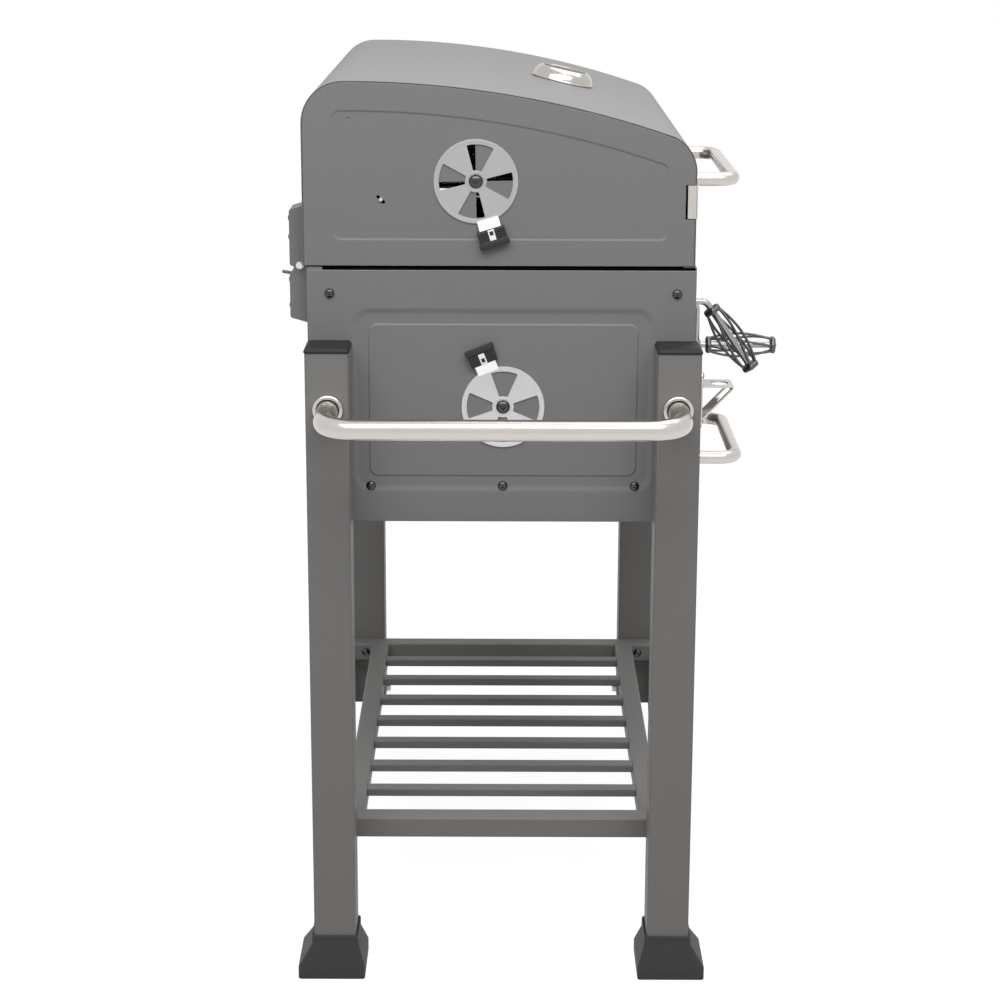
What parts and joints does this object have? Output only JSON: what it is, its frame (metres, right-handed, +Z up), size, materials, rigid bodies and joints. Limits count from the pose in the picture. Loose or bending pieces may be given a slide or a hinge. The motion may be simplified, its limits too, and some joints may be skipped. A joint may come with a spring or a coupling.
{
  "type": "charcoal grill cart",
  "caption": "Lidded charcoal grill cart with slatted shelf, folding side table, crank-lifted charcoal pan, ash drawer, air vents, push handle, fixed feet and rear wheels.",
  "frame": {"origin": "middle of the cart's footprint box on the floor", "axes": "+Z up, -Y towards the front where the lid's handle and the crank are, +X towards the wheels and the side table"},
  "size_m": [1.154, 0.6428, 1.0696],
  "materials": {
    "grey_paint": "powder-coated sheet and tube, semi-matt warm grey",
    "lid_paint": "powder-coated sheet, semi-matt warm grey",
    "brushed_steel": "brushed stainless steel",
    "chrome": "bright plated steel",
    "zinc_steel": "zinc-plated steel",
    "chromed_wire": "chromed wire",
    "dark_wire": "dark coiled wire, semi-gloss",
    "dark_screw": "black-chromed screw heads",
    "cast_iron": "black enamelled cast iron",
    "enamel": "black enamelled sheet steel",
    "black_plastic": "black moulded plastic",
    "tyre": "black rubber tread",
    "dial": "white printed dial",
    "glass": "clear glass",
    "needle": "black painted needle"
  },
  "bodies": {
    "cart": {"front_panel": "grey_paint", "rear_panel": "grey_paint", "left_side_panel": "grey_paint", "right_side_panel": "grey_paint", "firebox_floor": "grey_paint", "firebox_brackets": "zinc_steel", "cooking_grates": "cast_iron", "leg_front_left": "grey_paint", "leg_rear_left": "grey_paint", "leg_front_right": "grey_paint", "leg_rear_right": "grey_paint", "leg_caps": "black_plastic", "feet": "black_plastic", "shelf_end_rails": "grey_paint", "shelf_side_rails": "grey_paint", "shelf_slats": "grey_paint", "push_handle": "brushed_steel", "push_handle_rosettes": "brushed_steel", "panel_screws": "dark_screw", "bottle_opener": "brushed_steel", "hinge_base_leaves": "grey_paint", "hinge_pins": "chrome", "table_brackets": "grey_paint", "wheel_bolts": "chrome"},
    "lid": {"lid_shell": "lid_paint", "lid_left_side": "lid_paint", "lid_right_side": "lid_paint", "lid_trim": "brushed_steel", "lid_handle": "brushed_steel", "hinge_lid_leaves": "grey_paint", "lid_screws": "dark_screw", "thermometer_bezel": "brushed_steel", "thermometer_dial": "dial", "thermometer_glass": "glass"},
    "needle": {"thermometer_needle": "needle"},
    "warming_rack": {"warming_rack": "chromed_wire"},
    "vent_body_left": {"vent_body_left": "brushed_steel", "vent_grip_body_left": "black_plastic"},
    "vent_body_right": {"vent_body_right": "brushed_steel", "vent_grip_body_right": "black_plastic"},
    "vent_lid_left": {"vent_lid_left": "brushed_steel", "vent_grip_lid_left": "black_plastic"},
    "vent_lid_right": {"vent_lid_right": "brushed_steel", "vent_grip_lid_right": "black_plastic"},
    "charcoal_pan": {"charcoal_pan": "enamel", "charcoal_grate": "cast_iron", "lift_rack": "zinc_steel"},
    "crank": {"crank_shaft": "chrome", "crank_grip": "dark_wire"},
    "lock_lever": {"lock_lever": "chrome", "lock_lever_grip": "dark_wire"},
    "ash_drawer": {"ash_drawer": "lid_paint", "ash_drawer_handle": "brushed_steel"},
    "side_table": {"side_table": "grey_paint", "tool_hooks": "chrome"},
    "wheel_front": {"wheel_rim_front": "black_plastic", "tyre_front": "tyre"},
    "wheel_rear": {"wheel_rim_rear": "black_plastic", "tyre_rear": "tyre"}
  },
  "joints": [
    {"name": "lid_hinge", "type": "hinge", "parent": "cart", "child": "lid", "pos_m": [-0.095, 0.2811, 0.857], "axis": [-1, 0, 0], "range_deg": [0, 80]},
    {"name": "warming_rack_pivot", "type": "hinge", "parent": "lid", "child": "warming_rack", "pos_m": [-0.095, 0.1865, 0.936], "axis": [-1, 0, 0], "range_deg": [-80, 0]},
    {"name": "thermometer_needle_pivot", "type": "hinge", "parent": "lid", "child": "needle", "pos_m": [-0.095, -0.02888, 1.0506], "axis": [0, 0.2204, -0.9754], "range_deg": [0, 240]},
    {"name": "vent_body_left_pivot", "type": "hinge", "parent": "cart", "child": "vent_body_left", "pos_m": [-0.416, 0.0471, 0.695], "axis": [-1, 0, 0], "range_deg": [0, 45]},
    {"name": "vent_body_right_pivot", "type": "hinge", "parent": "cart", "child": "vent_body_right", "pos_m": [0.226, 0.0471, 0.695], "axis": [-1, 0, 0], "range_deg": [0, 45]},
    {"name": "vent_lid_left_pivot", "type": "hinge", "parent": "lid", "child": "vent_lid_left", "pos_m": [-0.4175, 0.0786, 0.957], "axis": [-1, 0, 0], "range_deg": [-17, 28]},
    {"name": "vent_lid_right_pivot", "type": "hinge", "parent": "lid", "child": "vent_lid_right", "pos_m": [0.2275, 0.0786, 0.957], "axis": [-1, 0, 0], "range_deg": [-17, 28]},
    {"name": "charcoal_lift", "type": "slide", "parent": "cart", "child": "charcoal_pan", "axis": [0, 0, 1], "range_m": [0, 0.05]},
    {"name": "crank_turn", "type": "hinge", "parent": "cart", "child": "crank", "pos_m": [0.005, -0.1739, 0.737], "axis": [0, -1, 0], "range_deg": [0, 240]},
    {"name": "lock_lever_turn", "type": "hinge", "parent": "cart", "child": "lock_lever", "pos_m": [-0.195, -0.1739, 0.777], "axis": [0, 1, 0], "range_deg": [0, 90]},
    {"name": "ash_drawer_slide", "type": "slide", "parent": "cart", "child": "ash_drawer", "axis": [0, -1, 0], "range_m": [0, 0.35]},
    {"name": "side_table_fold", "type": "hinge", "parent": "cart", "child": "side_table", "pos_m": [0.31, 0.0471, 0.785], "axis": [0, 1, 0], "range_deg": [0, 88]},
    {"name": "wheel_front_spin", "type": "hinge", "parent": "cart", "child": "wheel_front", "pos_m": [0.255, -0.1989, 0.1], "axis": [0, 1, 0], "continuous": true},
    {"name": "wheel_rear_spin", "type": "hinge", "parent": "cart", "child": "wheel_rear", "pos_m": [0.255, 0.2931, 0.1], "axis": [0, 1, 0], "continuous": true}
  ],
  "couplings": [
    {"joint": "warming_rack_pivot", "follows": "lid_hinge", "ratio": -1},
    {"joint": "crank_turn", "follows": "charcoal_lift", "rad_per_m": 83.333}
  ]
}
